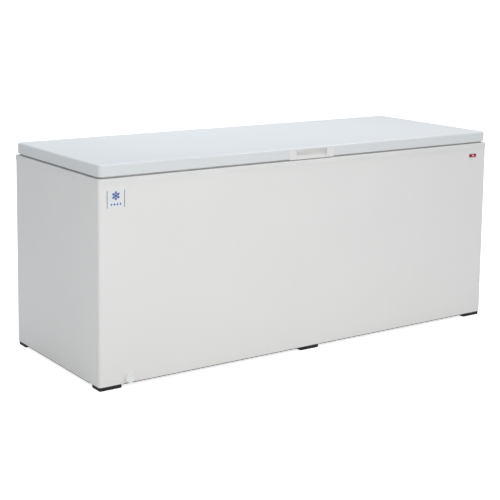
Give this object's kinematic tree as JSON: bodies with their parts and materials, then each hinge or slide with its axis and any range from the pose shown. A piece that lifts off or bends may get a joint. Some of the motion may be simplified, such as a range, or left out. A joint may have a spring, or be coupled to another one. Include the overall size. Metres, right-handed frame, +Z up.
{
  "type": "chest freezer",
  "caption": "Long white chest freezer with a flat spring-hinged lid, front scoop handle, drain, pilot lamp and end machine bay.",
  "frame": {"origin": "on the floor under the middle of the whole freezer", "axes": "+X along the front from left to right as seen from the front, -Y towards the front, +Z up"},
  "size_m": [1.9558, 0.745, 0.84],
  "materials": {
    "painted_white": "satin powder paint",
    "lid_white": "satin powder paint",
    "galvanised": "spangled zinc",
    "dark_paint": "dark satin paint",
    "tank_coat": "white coated embossed sheet",
    "foam": "open-pored foam",
    "white_plastic": "satin moulded",
    "badge": "satin foil",
    "gasket": "soft vinyl",
    "foot_black": "matt moulded",
    "lamp_red": "gloss",
    "thermostat_case": "matt moulded",
    "tube_plastic": "matt",
    "plug_rubber": "matt",
    "compressor_black": "gloss black enamel",
    "zinc": "zinc plated",
    "copper": "drawn copper",
    "aluminium": "mill",
    "fan_black": "matt",
    "motor_paint": "satin",
    "basket_wire": "white dip coated wire"
  },
  "bodies": {
    "cabinet": {"outer_wrap": "painted_white", "rear_panel": "galvanised", "base_pan": "dark_paint", "cabinet_foam": "foam", "tank_liner": "tank_coat", "rim_trim": "white_plastic", "foot_front_left": "foot_black", "foot_front_middle": "foot_black", "foot_front_right": "foot_black", "foot_rear_left": "foot_black", "foot_rear_middle": "foot_black", "foot_rear_right": "foot_black", "foot_screws": "zinc", "drain_spout": "white_plastic", "drain_tube": "tube_plastic", "lamp_housing": "lamp_red", "lamp_lens": "lamp_red", "badge_plate": "badge", "bay_bulkhead": "galvanised", "machine_deck": "galvanised", "compressor": "compressor_black", "compressor_grommets": "plug_rubber", "compressor_bolts": "zinc", "compressor_terminal_cover": "foot_black", "condenser_fins": "aluminium", "condenser_tube": "copper", "fan_shroud": "galvanised", "fan_motor": "motor_paint", "fan_bracket": "galvanised", "filter_drier": "copper", "suction_line": "copper", "discharge_line": "copper", "thermostat": "thermostat_case", "power_inlet": "foot_black", "rear_grille": "dark_paint", "side_grille": "painted_white", "grille_screws": "zinc", "evaporator_coil": "aluminium", "hinge_cabinet_leaf_left": "zinc", "hinge_cabinet_leaf_right": "zinc", "hinge_pin_left": "zinc", "hinge_pin_right": "zinc", "hinge_spring_left": "zinc", "hinge_spring_right": "zinc", "hinge_screws_cabinet": "zinc"},
    "lid": {"lid_outer_pan": "lid_white", "lid_foam": "foam", "lid_inner_pan": "white_plastic", "lid_gasket": "gasket", "lid_handle": "white_plastic", "hinge_lid_leaf_left": "zinc", "hinge_lid_leaf_right": "zinc", "hinge_screws_lid": "zinc"},
    "drain_cap": {"drain_cap": "white_plastic"},
    "drain_plug": {"drain_plug": "plug_rubber"},
    "basket_left": {"basket_left": "basket_wire"},
    "basket_right": {"basket_right": "basket_wire"},
    "fan": {"fan_blades": "fan_black"},
    "knob": {"thermostat_knob": "foot_black"}
  },
  "joints": [
    {"name": "lid_hinge", "type": "hinge", "parent": "cabinet", "child": "lid", "pos_m": [0, 0.365, 0.793], "axis": [-1, 0, 0], "range_deg": [0, 85], "stiffness_Nm_per_rad": 26, "springref_deg": 99.98, "deforming": ["hinge_spring_left", "hinge_spring_right"]},
    {"name": "drain_cap_pull", "type": "slide", "parent": "cabinet", "child": "drain_cap", "axis": [0, -1, 0], "range_m": [0, 0.05]},
    {"name": "drain_plug_pull", "type": "slide", "parent": "cabinet", "child": "drain_plug", "axis": [0, 0, 1], "range_m": [0, 0.05]},
    {"name": "basket_left_slide", "type": "slide", "parent": "cabinet", "child": "basket_left", "axis": [1, 0, 0], "range_m": [-0.05, 0.4]},
    {"name": "basket_right_slide", "type": "slide", "parent": "cabinet", "child": "basket_right", "axis": [1, 0, 0], "range_m": [-0.4, 0.05]},
    {"name": "fan_spin", "type": "hinge", "parent": "cabinet", "child": "fan", "pos_m": [0.819, 0, 0.147], "axis": [0, 1, 0], "continuous": true},
    {"name": "thermostat_turn", "type": "hinge", "parent": "cabinet", "child": "knob", "pos_m": [0.889, 0.351, 0.257], "axis": [0, 1, 0], "range_deg": [0, 270]}
  ]
}
